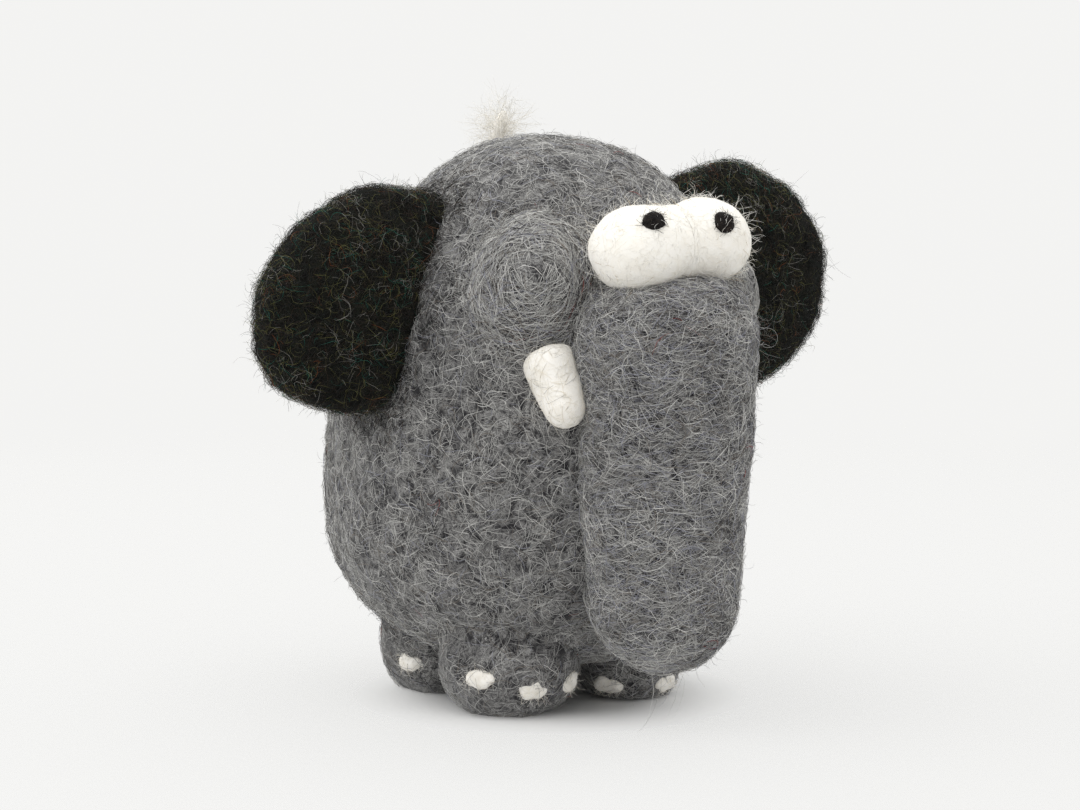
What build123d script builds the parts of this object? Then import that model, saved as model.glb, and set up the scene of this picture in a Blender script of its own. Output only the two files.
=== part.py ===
"""A needle-felted wool elephant: a figure of separate felted pieces on four stubby feet.

Millimetres. +Z is up, the elephant faces -Y, and left is its own left, +X. The origin is on
the ground, under the middle of the figure.
"""

from build123d import *
from math import sqrt
import os

os.makedirs("parts", exist_ok=True)

# Driving dimensions -----------------------------------------------------------------------
SIDES = {"right": -1, "left": 1}
ROUND_HANDLE = 0.5523  # the reach of a Bezier handle that makes a quarter of an ellipse

# Body: one round, dome-topped form, leaning forwards. Heights are along its own axis.
BODY_CENTRE = (0.0, 4.4, 40.0)
BODY_LEAN = 9.4
BODY_RADIUS = 33.8
BODY_BOTTOM = -32.1
BODY_WIDEST = -5.2
BODY_TOP = 50.3
BODY_FLAT_RADIUS = 9.0
BODY_HANDLE = 0.66  # a longer reach, for fuller shoulders than an ellipse has
COVER_THICKNESS = 4.0

# Trunk: a fat roll down the front of the body, a little thinner towards its end.
TRUNK_Y = -31.5
TRUNK_UPPER_RADIUS = 14.0
TRUNK_LOWER_RADIUS = 11.6
TRUNK_END_Z = 8.5
TRUNK_LOWER_Z = 22.0
TRUNK_UPPER_Z = 57.0
TRUNK_TOP_Z = 69.5
TRUNK_TOP_HANDLE = 0.72
TRUNK_SPLIT_Z = 60.0
TRUNK_BEND_Y = -33.0
TRUNK_BEND_GAP = 0.5
TRUNK_BEND_ANGLE = 12.0
TRUNK_BACK_GAP = 0.5
TRUNK_CORE_INSET = 3.5

# Cheeks: a flat dome of wool on each side of the trunk's root.
CHEEK_CENTRES = {"right": (-18.0, -22.3, 70.1), "left": (18.2, -22.3, 67.2)}
CHEEK_NORMAL = (0.58, -0.814, 0.1)
CHEEK_RADIUS = 10.0
CHEEK_HALF_THICKNESS = 5.2

# Eyes: two soft balls pressed together, each with a small pupil.
EYE_CENTRES = {"right": (-5.6, -33.0, 72.8), "left": (5.6, -33.0, 74.0)}
EYE_RADIUS = 7.7
EYE_HALF_HEIGHT = 6.6
PUPIL_DIRECTIONS = {"right": (-0.20, -0.76, 0.61), "left": (-0.07, -0.91, 0.40)}
PUPIL_REACH = 0.94
PUPIL_RADIUS = 1.7
PUPIL_HALF_THICKNESS = 0.9

# Tusks: short blunt cones that come out of the crease beside the trunk.
TUSK_ROOT = (16.0, -25.0, 55.0)
TUSK_TIP = (15.6, -28.0, 49.6)
TUSK_ROOT_RADIUS = 4.2
TUSK_TIP_RADIUS = 3.2

# Ears: thick round pillows on the sides of the head, each with its own hand-made shape.
EAR_CENTRES = {"right": (-34.2, -1.0, 65.0), "left": (34.3, -1.0, 67.0)}
EAR_HALF_LENGTHS = {"right": (19.7, 15.6), "left": (19.4, 18.6)}
EAR_TURNS = {"right": 33.0, "left": 11.0}
EAR_THICKNESS = 13.0
EAR_EDGE_RADIUS = 5.8
EAR_ROOT_GAP = 1.6

# Feet: round stumps, each with a flat sole and three toenails. They differ, as felted by hand.
FOOT_CENTRES = {
    "front_right": (-12.6, -7.6),
    "front_left": (10.4, -7.0),
    "rear_right": (-11.7, 14.4),
    "rear_left": (11.7, 14.4),
}
FOOT_RADII = {"front_right": 11.6, "front_left": 9.4, "rear_right": 10.2, "rear_left": 10.2}
FOOT_WIDEST_Z = 10.0
FOOT_TOP_Z = 15.0
SOLE_RADIUS = 5.5
NAIL_NAMES = ("outer", "middle", "inner")
NAIL_ANGLES = {
    "front_right": (57, 12, -33),
    "front_left": (-80, -20, 59),
    "rear_right": (64, 8, -45),
    "rear_left": (-64, -8, 45),
}
NAIL_HEIGHTS = {
    "front_right": (6.6, 5.1, 5.4),
    "front_left": (3.2, 3.0, 3.0),
    "rear_right": (5.5, 5.0, 5.0),
    "rear_left": (5.5, 5.0, 5.0),
}
NAIL_HALF_WIDTH = 2.5
NAIL_HALF_HEIGHT = 1.65
NAIL_SINK = 1.0

# Tail: a thin roll that stands up behind the back and ends in a cream tuft.
TAIL_RADIUS = 2.4
TAIL_ROOT = (0.0, 39.5, 50.0)
TAIL_BEND = (2.0, 42.8, 68.5)
TAIL_TIP = (6.8, 29.0, 87.0)
TUFT_CENTRE = (7.4, 26.9, 91.6)
TUFT_DIRECTION = (0.1, -0.35, 0.93)
TUFT_RADIUS = 3.9
TUFT_HALF_LENGTH = 5.6


# Shared shapes ----------------------------------------------------------------------------
def mirrored(point, side):
    """The point on the elephant's left side, or its mirror image on the right."""
    return (side * point[0], point[1], point[2])


def quarter_round(start, end, leaves_level, handle=ROUND_HANDLE):
    """A quarter of a round from start to end, level at one end and upright at the other."""
    across = handle * (end[0] - start[0])
    up = handle * (end[1] - start[1])
    if leaves_level:
        return Bezier(start, (start[0] + across, start[1]), (end[0], end[1] - up), end)
    return Bezier(start, (start[0], start[1] + up), (end[0] - across, end[1]), end)


def turned(profile, place):
    """A half outline in the XZ plane, turned about Z, then stood on the plane place."""
    with BuildPart() as form:
        add(profile)
        revolve(axis=Axis.Z)
    with BuildPart(place) as placed:
        add(form.part)
    return placed.part


def body_form(grow=0.0):
    """The whole round body, with its surface moved outwards by grow."""
    bottom = BODY_BOTTOM - grow
    side = (BODY_RADIUS + grow, BODY_WIDEST)
    top = BODY_TOP + grow
    with BuildSketch(Plane.XZ) as profile:
        with BuildLine():
            Line((0, bottom), (BODY_FLAT_RADIUS, bottom))
            quarter_round((BODY_FLAT_RADIUS, bottom), side, leaves_level=True, handle=BODY_HANDLE)
            quarter_round(side, (0, top), leaves_level=False, handle=BODY_HANDLE)
            Line((0, top), (0, bottom))
        make_face()
    lean = Vector(0, 0, 1).rotate(Axis.X, BODY_LEAN)
    return turned(profile.sketch, Plane(origin=BODY_CENTRE, x_dir=(1, 0, 0), z_dir=lean))


def trunk_form(grow=0.0):
    """The whole trunk roll, as round at the back as at the front, moved outwards by grow."""
    bottom = TRUNK_END_Z - grow
    lower = (TRUNK_LOWER_RADIUS + grow, TRUNK_LOWER_Z)
    upper = (TRUNK_UPPER_RADIUS + grow, TRUNK_UPPER_Z)
    top = TRUNK_TOP_Z + grow
    rise = (TRUNK_UPPER_Z - TRUNK_LOWER_Z) / 3
    with BuildSketch(Plane.XZ) as profile:
        with BuildLine():
            quarter_round((0, bottom), lower, leaves_level=True)
            Bezier(lower, (lower[0], lower[1] + rise), (upper[0], upper[1] - rise), upper)
            quarter_round(upper, (0, top), leaves_level=False, handle=TRUNK_TOP_HANDLE)
            Line((0, top), (0, bottom))
        make_face()
    return turned(profile.sketch, Plane(origin=(0, TRUNK_Y, 0)))


def foot_form(x, y, radius):
    """A round stump with a flat sole, rounded up into its side."""
    sole_edge = (SOLE_RADIUS, 0)
    side = (radius, FOOT_WIDEST_Z)
    with BuildSketch(Plane.XZ) as profile:
        with BuildLine():
            Line((0, 0), sole_edge)
            quarter_round(sole_edge, side, leaves_level=True)
            Line(side, (radius, FOOT_TOP_Z))
            Line((radius, FOOT_TOP_Z), (0, FOOT_TOP_Z))
            Line((0, FOOT_TOP_Z), (0, 0))
        make_face()
    return turned(profile.sketch, Plane(origin=(x, y, 0)))


def foot_reach(radius, height):
    """How far a foot's side reaches out from its centre at a height above the ground."""
    return SOLE_RADIUS + (radius - SOLE_RADIUS) * sqrt(1 - (1 - height / FOOT_WIDEST_Z) ** 2)


def spheroid(centre, pole, radius, half_height):
    """A flattened or lengthened ball, round about its pole direction."""
    with BuildSketch(Plane.XZ) as profile:
        with BuildLine():
            quarter_round((0, -half_height), (radius, 0), leaves_level=True)
            quarter_round((radius, 0), (0, half_height), leaves_level=False)
            Line((0, half_height), (0, -half_height))
        make_face()
    return turned(profile.sketch, Plane(origin=centre, z_dir=pole))


def tusk_form(root, tip):
    """A blunt cone from root to tip, round at both ends."""
    span = (tip - root).length
    with BuildSketch(Plane.XZ) as profile:
        with BuildLine():
            quarter_round((0, -TUSK_ROOT_RADIUS), (TUSK_ROOT_RADIUS, 0), leaves_level=True)
            Line((TUSK_ROOT_RADIUS, 0), (TUSK_TIP_RADIUS, span))
            quarter_round(
                (TUSK_TIP_RADIUS, span), (0, span + TUSK_TIP_RADIUS), leaves_level=False
            )
            Line((0, span + TUSK_TIP_RADIUS), (0, -TUSK_ROOT_RADIUS))
        make_face()
    return turned(profile.sketch, Plane(origin=root, z_dir=tip - root))


def toenail_form(centre, outwards):
    """An oval ball of wool, wider than it is high, that faces outwards."""
    with BuildPart() as oval:
        add(spheroid((0, 0, 0), (0, 0, 1), NAIL_HALF_HEIGHT, NAIL_HALF_HEIGHT))
        scale(by=(NAIL_HALF_WIDTH / NAIL_HALF_HEIGHT, 1, 1))
    along = outwards.rotate(Axis.Z, 90)
    with BuildPart(Plane(origin=centre, x_dir=along, z_dir=outwards)) as placed:
        add(oval.part)
    return placed.part


def trunk_bend_cutter(inset=0.0):
    """Everything above the trunk's bend, sloping down in front to leave room to swing."""
    slope = Vector(0, -1, 0).rotate(Axis.X, TRUNK_BEND_ANGLE)
    front = Vector(0, TRUNK_BEND_Y, TRUNK_SPLIT_Z - TRUNK_BEND_GAP - inset) + slope * 30
    with BuildPart() as cutter:
        with BuildSketch(Plane.YZ.offset(-30)):
            with BuildLine():
                Polyline(
                    (TRUNK_BEND_Y, TRUNK_SPLIT_Z - TRUNK_BEND_GAP - inset),
                    (front.Y, front.Z),
                    (front.Y, 90),
                    (10, 90),
                    (10, TRUNK_SPLIT_Z - TRUNK_BEND_GAP - inset),
                    close=True,
                )
            make_face()
        extrude(amount=60)
    return cutter.part


body_shape = body_form()

# Body -------------------------------------------------------------------------------------
with BuildPart() as body_core:
    add(body_form(-COVER_THICKNESS))
body_core.part.label = "body_core"
export_step(body_core.part, "parts/body_core.step")

with BuildPart() as body_cover:
    add(body_shape)
    add(body_core.part, mode=Mode.SUBTRACT)
body_cover.part.label = "body_cover"
export_step(body_cover.part, "parts/body_cover.step")

# Trunk ------------------------------------------------------------------------------------
with BuildPart() as trunk_root:
    add(trunk_form())
    split(bisect_by=Plane.XY.offset(TRUNK_SPLIT_Z), keep=Keep.TOP)
    add(body_shape, mode=Mode.SUBTRACT)
trunk_root.part.label = "trunk_root"
export_step(trunk_root.part, "parts/trunk_root.step")

with BuildPart() as trunk_core:
    add(trunk_form(-TRUNK_CORE_INSET))
    add(body_form(TRUNK_BACK_GAP + TRUNK_CORE_INSET), mode=Mode.SUBTRACT)
    add(trunk_bend_cutter(TRUNK_CORE_INSET), mode=Mode.SUBTRACT)
trunk_core.part.label = "trunk_core"
export_step(trunk_core.part, "parts/trunk_core.step")

with BuildPart() as trunk_cover:
    add(trunk_form())
    add(body_form(TRUNK_BACK_GAP), mode=Mode.SUBTRACT)
    add(trunk_bend_cutter(), mode=Mode.SUBTRACT)
    add(trunk_core.part, mode=Mode.SUBTRACT)
trunk_cover.part.label = "trunk_cover"
export_step(trunk_cover.part, "parts/trunk_cover.step")

# Face -------------------------------------------------------------------------------------
for name, side in SIDES.items():
    with BuildPart() as cheek:
        add(
            spheroid(
                CHEEK_CENTRES[name],
                mirrored(CHEEK_NORMAL, side),
                CHEEK_RADIUS,
                CHEEK_HALF_THICKNESS,
            )
        )
        add(body_shape, mode=Mode.SUBTRACT)
        add(trunk_form(TRUNK_BACK_GAP), mode=Mode.SUBTRACT)
    cheek.part.label = f"{name}_cheek"
    export_step(cheek.part, f"parts/{name}_cheek.step")

    eye_centre = EYE_CENTRES[name]
    look = PUPIL_DIRECTIONS[name]
    pupil_centre = Plane(origin=eye_centre, z_dir=look).offset(EYE_RADIUS * PUPIL_REACH).origin
    with BuildPart() as pupil:
        add(spheroid(pupil_centre, look, PUPIL_RADIUS, PUPIL_HALF_THICKNESS))
    pupil.part.label = f"{name}_pupil"
    export_step(pupil.part, f"parts/{name}_pupil.step")

    with BuildPart() as eye:
        add(spheroid(eye_centre, (0, 0, 1), EYE_RADIUS, EYE_HALF_HEIGHT))
        split(bisect_by=Plane.YZ, keep=Keep.TOP if side > 0 else Keep.BOTTOM)
        add(body_shape, mode=Mode.SUBTRACT)
        add(trunk_root.part, mode=Mode.SUBTRACT)
        add(cheek.part, mode=Mode.SUBTRACT)
        add(pupil.part, mode=Mode.SUBTRACT)
    eye.part.label = f"{name}_eye"
    export_step(eye.part, f"parts/{name}_eye.step")

    tusk_root = Vector(mirrored(TUSK_ROOT, side))
    tusk_tip = Vector(mirrored(TUSK_TIP, side))
    with BuildPart() as tusk:
        add(tusk_form(tusk_root, tusk_tip))
        add(body_shape, mode=Mode.SUBTRACT)
        add(trunk_form(TRUNK_BACK_GAP), mode=Mode.SUBTRACT)
        add(cheek.part, mode=Mode.SUBTRACT)
    tusk.part.label = f"{name}_tusk"
    export_step(tusk.part, f"parts/{name}_tusk.step")

# Ears -------------------------------------------------------------------------------------
for name in SIDES:
    ear_back = Vector(EAR_CENTRES[name]) + Vector(0, EAR_THICKNESS / 2, 0)
    with BuildPart() as ear:
        with BuildSketch(Plane(origin=ear_back, x_dir=(1, 0, 0), z_dir=(0, -1, 0))):
            Ellipse(*EAR_HALF_LENGTHS[name], rotation=EAR_TURNS[name])
        extrude(amount=EAR_THICKNESS)
        fillet(ear.edges(), EAR_EDGE_RADIUS)
        add(body_form(EAR_ROOT_GAP), mode=Mode.SUBTRACT)
    ear.part.label = f"{name}_ear"
    export_step(ear.part, f"parts/{name}_ear.step")

# Feet and toenails ------------------------------------------------------------------------
for foot_name, nail_angles in NAIL_ANGLES.items():
    foot_centre = FOOT_CENTRES[foot_name]
    foot_radius = FOOT_RADII[foot_name]
    nails = []
    for nail_name, angle, height in zip(NAIL_NAMES, nail_angles, NAIL_HEIGHTS[foot_name]):
        outwards = Vector(0, -1, 0).rotate(Axis.Z, -angle)
        reach = foot_reach(foot_radius, height) - NAIL_SINK
        nail_centre = Vector(*foot_centre, height) + outwards * reach
        with BuildPart() as toenail:
            add(toenail_form(nail_centre, outwards))
        toenail.part.label = f"{foot_name}_{nail_name}_toenail"
        export_step(toenail.part, f"parts/{foot_name}_{nail_name}_toenail.step")
        nails.append(toenail.part)

    with BuildPart() as foot:
        add(foot_form(*foot_centre, foot_radius))
        for nail in nails:
            add(nail, mode=Mode.SUBTRACT)
        add(body_shape, mode=Mode.SUBTRACT)
    foot.part.label = f"{foot_name}_foot"
    export_step(foot.part, f"parts/{foot_name}_foot.step")

# Tail -------------------------------------------------------------------------------------
with BuildPart() as tail:
    with BuildLine() as tail_line:
        ThreePointArc(TAIL_ROOT, TAIL_BEND, TAIL_TIP)
    with BuildSketch(Plane(origin=TAIL_ROOT, z_dir=tail_line.line % 0)):
        Circle(TAIL_RADIUS)
    sweep()
    with Locations(TAIL_ROOT, TAIL_TIP):
        Sphere(TAIL_RADIUS)
tail.part.label = "tail"
export_step(tail.part, "parts/tail.step")

with BuildPart() as tail_tuft:
    add(spheroid(TUFT_CENTRE, TUFT_DIRECTION, TUFT_RADIUS, TUFT_HALF_LENGTH))
    add(tail.part, mode=Mode.SUBTRACT)
tail_tuft.part.label = "tail_tuft"
export_step(tail_tuft.part, "parts/tail_tuft.step")
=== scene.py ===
"""A needle-felted wool elephant: sculpted felt forms, covered in real strands of wool.

Shapes are worked out in millimetres in the row frame, and turned to metres as each mesh is made.
"""

import math
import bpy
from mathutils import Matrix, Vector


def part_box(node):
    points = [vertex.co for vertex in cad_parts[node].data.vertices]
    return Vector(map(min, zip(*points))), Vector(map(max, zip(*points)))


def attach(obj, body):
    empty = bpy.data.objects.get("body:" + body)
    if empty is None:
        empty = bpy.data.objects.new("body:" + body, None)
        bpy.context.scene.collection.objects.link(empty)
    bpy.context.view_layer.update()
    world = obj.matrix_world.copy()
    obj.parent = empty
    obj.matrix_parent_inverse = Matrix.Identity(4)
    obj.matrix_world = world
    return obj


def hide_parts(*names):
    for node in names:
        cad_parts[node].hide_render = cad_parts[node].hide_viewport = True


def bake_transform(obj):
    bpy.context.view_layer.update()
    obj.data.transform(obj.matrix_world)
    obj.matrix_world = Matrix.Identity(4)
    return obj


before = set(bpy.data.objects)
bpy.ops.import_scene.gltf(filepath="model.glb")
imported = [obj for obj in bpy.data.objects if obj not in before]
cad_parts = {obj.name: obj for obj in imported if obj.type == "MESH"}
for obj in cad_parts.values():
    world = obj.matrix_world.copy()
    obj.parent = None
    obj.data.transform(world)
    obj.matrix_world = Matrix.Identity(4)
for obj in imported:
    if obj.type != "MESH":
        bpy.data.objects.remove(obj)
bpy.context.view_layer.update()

import zlib

import bpy
import numpy as np
from mathutils import Vector, noise
from mathutils.bvhtree import BVHTree

MM = 0.001
UP = np.array([0.0, 0.0, 1.0])
SIDES = {"right": -1, "left": 1}
FEET = ("front_right", "front_left", "rear_right", "rear_left")
TOES = ("outer", "middle", "inner")
CLEAR_OF_FLOOR = 0.1

# Camera and light --------------------------------------------------------------------------
CAMERA_AZIMUTH = math.radians(-33)
CAMERA_ELEVATION = math.radians(5)
CAMERA_DISTANCE = 0.43
CAMERA_AIM_Z = 0.047
CAMERA_SIDESTEP = -0.0016
CAMERA_LENS = 88.9
BACKDROP_WHITE = 0.9

# Wool tones, linear ------------------------------------------------------------------------
GREYS = [
    ("silver", (0.74, 0.73, 0.70)),
    ("light", (0.53, 0.525, 0.505)),
    ("mid", (0.31, 0.305, 0.295)),
    ("slate", (0.34, 0.345, 0.40)),
    ("brown", (0.20, 0.17, 0.14)),
    ("dark", (0.03, 0.028, 0.032)),
    ("red", (0.30, 0.03, 0.02)),
]
BODY_SHARES = (0.20, 0.32, 0.22, 0.07, 0.06, 0.128, 0.002)
FOOT_SHARES = (0.08, 0.28, 0.30, 0.08, 0.08, 0.178, 0.002)
TRUNK_SHARES = (0.20, 0.30, 0.20, 0.14, 0.05, 0.109, 0.001)
DARKS = [
    ("black", (0.005, 0.005, 0.005)),
    ("bottle_green", (0.010, 0.018, 0.010)),
    ("umber", (0.040, 0.024, 0.014)),
    ("olive", (0.16, 0.155, 0.055)),
    ("rust", (0.24, 0.08, 0.025)),
    ("teal", (0.02, 0.15, 0.11)),
    ("ash", (0.34, 0.33, 0.30)),
]
EAR_SHARES = (0.54, 0.17, 0.15, 0.07, 0.01, 0.03, 0.03)
RIM_SHARES = (0.40, 0.15, 0.13, 0.15, 0.015, 0.045, 0.11)
WHITES = [
    ("white", (0.96, 0.94, 0.89)),
    ("ivory", (0.92, 0.88, 0.79)),
    ("tan", (0.55, 0.45, 0.30)),
    ("ash", (0.40, 0.39, 0.38)),
]
CREAMS = [
    ("cream", (0.92, 0.89, 0.82)),
    ("butter", (0.84, 0.78, 0.66)),
    ("ash", (0.40, 0.39, 0.37)),
]
INKS = [
    ("ink", (0.010, 0.009, 0.009)),
    ("sepia", (0.06, 0.042, 0.03)),
    ("white", (0.85, 0.83, 0.79)),
]


# Mesh helpers ------------------------------------------------------------------------------
def seeded(name):
    """A random generator that depends only on the piece's name."""
    return np.random.default_rng(zlib.crc32(name.encode()))


def box_mm(node):
    """A CAD node's lowest and highest corners, in millimetres."""
    low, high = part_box(node)
    return np.array(low) / MM, np.array(high) / MM


def unit(v):
    return v / np.maximum(np.linalg.norm(v, axis=-1, keepdims=True), 1e-12)


def add_object(name, mesh, smooth=True):
    mesh.update()
    if smooth:
        mesh.shade_smooth()
    obj = bpy.data.objects.new(name, mesh)
    bpy.context.scene.collection.objects.link(obj)
    return obj


def mesh_of(name, points, faces):
    mesh = bpy.data.meshes.new(name)
    mesh.from_pydata((points * MM).tolist(), [], faces.tolist())
    return mesh


def cube_ball(n):
    """Directions and quads of a cube of n by n squares a side, blown up to a unit ball."""
    ticks = np.tan(np.linspace(-1, 1, n + 1) * math.pi / 4)
    u, v = np.meshgrid(ticks, ticks, indexing="ij")
    one = np.ones_like(u)
    sides = [(one, u, v), (-one, v, u), (v, one, u), (u, -one, v), (u, v, one), (v, u, -one)]
    points = np.concatenate([np.stack(side, -1).reshape(-1, 3) for side in sides])
    corner = np.arange((n + 1) ** 2).reshape(n + 1, n + 1)
    quad = np.stack([corner[:-1, :-1], corner[1:, :-1], corner[1:, 1:], corner[:-1, 1:]], -1)
    quads = np.concatenate([quad.reshape(-1, 4) + k * (n + 1) ** 2 for k in range(6)])
    _, first, back = np.unique(
        np.round(points, 6), axis=0, return_index=True, return_inverse=True
    )
    return unit(points[first]), back.reshape(-1)[quads]


def arc(centre, across, along, start, end, count=32, fullness=2.0):
    """Points (radius, height) on an arc between two angles in degrees.

    A fullness of 2 makes a plain ellipse, and more makes squarer shoulders.
    """
    a = np.radians(np.linspace(start, end, count))
    c, s = np.cos(a), np.sin(a)
    c, s = (np.sign(v) * np.abs(v) ** (2 / fullness) for v in (c, s))
    return np.stack([centre[0] + across * c, centre[1] + along * s], -1)


def turned(ball, outline):
    """The ball's points laid on a form turned about Z, evenly along its outline."""
    steps = np.r_[0, np.cumsum(np.linalg.norm(np.diff(outline, axis=0), axis=1))]
    t = (1 - np.arccos(np.clip(ball[:, 2], -1, 1)) / math.pi) * steps[-1]
    r = np.interp(t, steps, outline[:, 0])
    flat = unit(ball[:, :2])
    return np.stack([flat[:, 0] * r, flat[:, 1] * r, np.interp(t, steps, outline[:, 1])], -1)


def axes_about(pole):
    """Three square axes, as rows, with the last one along pole."""
    z = unit(np.array(pole, float))
    x = unit(np.cross((0, 1, 0) if abs(z[1]) < 0.9 else (1, 0, 0), z))
    return np.stack([x, np.cross(z, x), z])


def noise_at(points, size, seed):
    """Smooth noise from about -1 to 1, with lumps of about size mm."""
    shifted = points / size + seed * 17.3
    return np.array([noise.noise(p) for p in shifted.tolist()])


def normals_of(points, faces):
    """Unit vertex normals, weighted by area."""
    a, b, c, d = (points[faces[:, k]] for k in range(4))
    face_normal = np.cross(c - a, d - b)
    total = np.zeros_like(points)
    for k in range(4):
        np.add.at(total, faces[:, k], face_normal)
    return unit(total)


class Form:
    """A sculpted surface in millimetres, with a tree that finds its nearest point."""

    def __init__(self, name, points, faces, lumps=0.35, lump_size=9.0, dents=0.12, dent_size=2.2):
        seed = zlib.crc32(name.encode()) % 97
        normal = normals_of(points, faces)
        depth = lumps * noise_at(points, lump_size, seed)
        depth += dents * noise_at(points, dent_size, seed + 5)
        self.name = name
        self.points = points + normal * depth[:, None]
        self.faces = faces
        self.tree = BVHTree.FromPolygons(self.points.tolist(), faces.tolist())

    def build(self, material, body, slot, *nodes, fill=1.0):
        """The form as a piece that rides on a body and stands for CAD nodes."""
        piece = add_object(self.name, mesh_of(self.name, self.points, self.faces))
        piece.data.materials.append(material)
        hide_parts(*nodes)
        if body:
            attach(piece, body)
        return piece


# Materials ---------------------------------------------------------------------------------
class Nodes:
    """A short way to add linked nodes to a material."""

    def __init__(self, name):
        self.material = bpy.data.materials.new(name)
        self.material.use_nodes = True
        self.tree = self.material.node_tree
        self.shader = self.tree.nodes["Principled BSDF"]

    def add(self, kind, settings=None, **inputs):
        node = self.tree.nodes.new(kind)
        for key, value in (settings or {}).items():
            setattr(node, key, value)
        for key, value in inputs.items():
            self.put(node, key.replace("_", " "), value)
        return node

    def put(self, node, key, value):
        socket = node.inputs[int(key) if key.isdigit() else key]
        if isinstance(value, bpy.types.NodeSocket):
            self.tree.links.new(value, socket)
        else:
            socket.default_value = value

    def math(self, operation, a, b=0.0):
        node = self.tree.nodes.new("ShaderNodeMath")
        node.operation = operation
        self.put(node, "0", a)
        self.put(node, "1", b)
        return node.outputs[0]

    def mix(self, factor, a, b, blend="MIX"):
        node = self.tree.nodes.new("ShaderNodeMix")
        node.data_type = "RGBA"
        node.blend_type = blend
        self.put(node, "0", factor)
        self.put(node, "6", a if isinstance(a, bpy.types.NodeSocket) else (*a, 1))
        self.put(node, "7", b if isinstance(b, bpy.types.NodeSocket) else (*b, 1))
        return node.outputs[2]

    def ramp(self, value, low, high):
        """0 below low, 1 above high, smooth between."""
        node = self.tree.nodes.new("ShaderNodeMapRange")
        node.interpolation_type = "SMOOTHSTEP"
        self.put(node, "Value", value)
        self.put(node, "From Min", low)
        self.put(node, "From Max", high)
        return node.outputs[0]


def wool_finish(shader, roughness=0.95, sheen=0.35, sheen_tint=(0.9, 0.9, 0.88)):
    shader.inputs["Roughness"].default_value = roughness
    shader.inputs["Specular IOR Level"].default_value = 0.12
    shader.inputs["Sheen Weight"].default_value = sheen
    shader.inputs["Sheen Roughness"].default_value = 0.5
    shader.inputs["Sheen Tint"].default_value = (*sheen_tint, 1)


def felt(name, dark, mid, light, pit_shade=0.75, bump=0.35, sheen=0.3, strand=0.5, web=0.9):
    """Matted wool: fine crossing strands, soft blotches, and gaps and needle holes painted dark
    as shade.
    """
    n = Nodes(name)
    place = n.add("ShaderNodeTexCoord").outputs["Object"]
    mm = n.add("ShaderNodeVectorMath", {"operation": "SCALE"}, **{"0": place, "Scale": 1 / MM})
    mm = mm.outputs[0]
    slow = n.add("ShaderNodeTexNoise", Vector=mm, Scale=0.22, Detail=1.0).outputs["Color"]
    quick = n.add("ShaderNodeTexNoise", Vector=mm, Scale=0.9, Detail=1.0).outputs["Color"]
    bent = n.add("ShaderNodeVectorMath", {"operation": "MULTIPLY_ADD"},
                 **{"0": slow, "1": (7.0, 7.0, 7.0), "2": mm}).outputs[0]
    bent = n.add("ShaderNodeVectorMath", {"operation": "MULTIPLY_ADD"},
                 **{"0": quick, "1": (1.3, 1.3, 1.3), "2": bent}).outputs[0]
    layers = []
    for turn, coarseness, strength in (
        ((0.3, 0.2, 0.1), 1.0, 1.0), ((1.2, 0.5, 1.0), 1.3, 0.8), ((0.4, 1.4, 2.1), 0.8, 0.7),
        ((2.0, 0.9, 0.4), 1.6, 0.9),
    ):
        lie = n.add("ShaderNodeMapping", Vector=bent, Rotation=turn, Scale=(0.22, 1.0, 1.0))
        streak = n.add("ShaderNodeTexNoise", Vector=lie.outputs[0],
                       Scale=1 / (strand * coarseness), Detail=1.0)
        ridge = n.math("ABSOLUTE", n.math("SUBTRACT", streak.outputs["Fac"], 0.5))
        layers.append(n.math("MULTIPLY", n.ramp(ridge, 0.045, 0.0), strength))
    mat = layers[0]
    for layer in layers[1:]:
        mat = n.math("MAXIMUM", mat, layer)
    blotch = n.add("ShaderNodeTexNoise", Vector=mm, Scale=0.16, Detail=3.0).outputs["Fac"]
    depth = n.add("ShaderNodeTexNoise", Vector=bent, Scale=0.55, Detail=3.0).outputs["Fac"]
    fuzz = n.add("ShaderNodeTexNoise", Vector=mm, Scale=3.5, Detail=3.0).outputs["Fac"]
    cells = n.add("ShaderNodeTexVoronoi", Vector=bent, Scale=0.34)
    near = n.ramp(cells.outputs["Distance"], 0.2, 0.05)
    chosen = n.add("ShaderNodeSeparateColor", Color=cells.outputs["Color"]).outputs[0]
    pit = n.math("MULTIPLY", near, n.ramp(chosen, 0.45, 0.6))
    # Low parts of the relief take the dark tone: painted shade in the gaps between strands.
    tone = n.mix(n.ramp(depth, 0.38, 0.62), dark, mid)
    seen = n.math("MULTIPLY", mat, n.ramp(depth, 0.25, 0.60))
    tone = n.mix(n.math("MULTIPLY", seen, web), tone, light)
    tone = n.mix(n.math("MULTIPLY", n.ramp(blotch, 0.62, 0.35), 0.30), tone, dark)
    tone = n.mix(n.math("MULTIPLY", fuzz, 0.25), tone, dark)
    # Needle pits take a near-black colour, which is painted shade in the holes; the bump below
    # also sinks them.
    tone = n.mix(n.math("MULTIPLY", pit, pit_shade), tone, tuple(0.15 * c for c in dark))
    height = n.math("ADD", mat, n.math("MULTIPLY", depth, 1.2))
    height = n.math("SUBTRACT", height, n.math("MULTIPLY", pit, 2.5))
    relief = n.add("ShaderNodeBump", Height=height, Strength=bump, Distance=0.25 * MM)
    n.put(n.shader, "Base Color", tone)
    n.put(n.shader, "Normal", relief.outputs[0])
    wool_finish(n.shader, sheen=sheen)
    return n.material


def strand_materials(prefix, tones, sheen=0.25):
    """One plain matte material for each tone of wool, as each single strand has one tone."""
    made = []
    for name, colour in tones:
        material = bpy.data.materials.new(f"{prefix}_{name}")
        material.use_nodes = True
        shader = material.node_tree.nodes["Principled BSDF"]
        shader.inputs["Base Color"].default_value = (*colour, 1)
        wool_finish(shader, roughness=0.75, sheen=sheen)
        made.append(material)
    return made


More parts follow.
